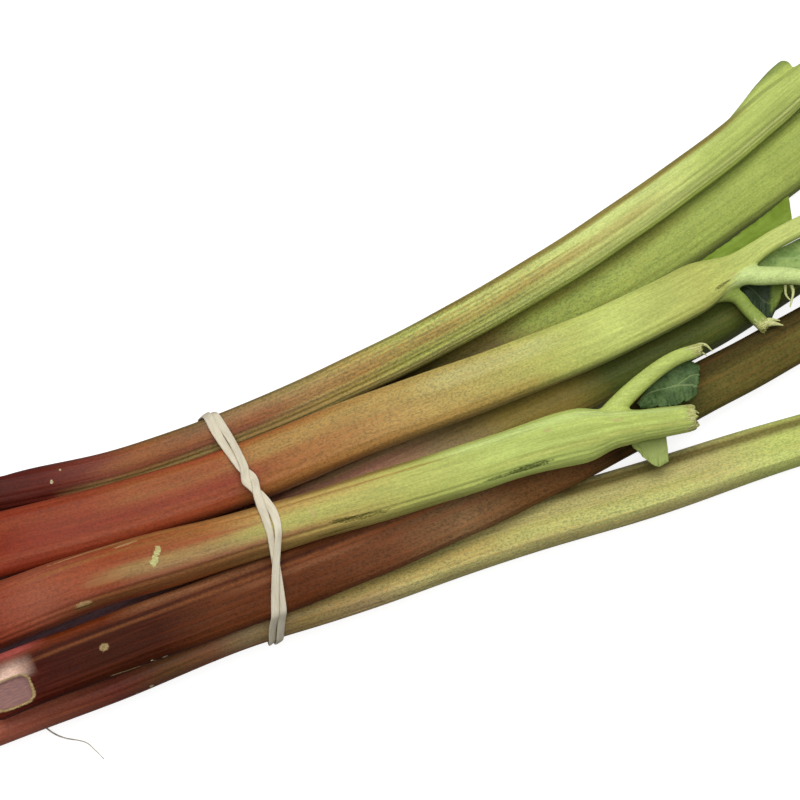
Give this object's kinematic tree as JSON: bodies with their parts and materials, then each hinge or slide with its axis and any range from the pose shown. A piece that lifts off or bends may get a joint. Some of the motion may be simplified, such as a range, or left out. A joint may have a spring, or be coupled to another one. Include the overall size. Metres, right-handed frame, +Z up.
{
  "type": "rhubarb stalk bunch",
  "caption": "Long, gently bent rhubarb leaf stalks lying side by side and crossed, held by a twisted rubber band, with flared butts at one end and torn leaf veins at the other.",
  "frame": {"origin": "middle of the bunch's footprint, on the surface it lies on", "axes": "+X along the bunch from the butts to the leaf ends, +Y across it towards the far outer stalk, +Z up from the surface"},
  "size_m": [0.4433, 0.1659, 0.0515],
  "materials": {
    "skin_a": "satin, waxy plant skin, burgundy at the butt to light green",
    "skin_b": "satin, waxy plant skin, green with fine red speckles",
    "skin_c": "satin, waxy plant skin, brick red at the butt to light green",
    "skin_d": "satin, waxy plant skin, purple brown at the butt to dark olive",
    "skin_e": "satin, waxy plant skin, red at the butt to lime green",
    "skin_f": "satin, waxy plant skin, orange brown to dark olive brown",
    "skin_g": "satin, waxy plant skin, red at the butt to speckled yellow green",
    "band_rubber": "matt, cream natural rubber",
    "leaf_blade": "matt leaf, dark and bright green with pale veins",
    "root_fibre": "matt, pale dry fibre"
  },
  "bodies": {
    "root": {"stalk_a_far": "skin_a", "stalk_b_far_under": "skin_b", "stalk_c_broad": "skin_c", "stalk_d_under": "skin_d", "stalk_e_short": "skin_e", "stalk_f_brown": "skin_f", "stalk_g_near": "skin_g", "rubber_band": "band_rubber", "leaf_c_back": "leaf_blade", "leaf_c_middle": "leaf_blade", "leaf_c_front": "leaf_blade", "leaf_e_upper": "leaf_blade", "leaf_e_lower": "leaf_blade", "root_hair": "root_fibre"}
  },
  "joints": []
}
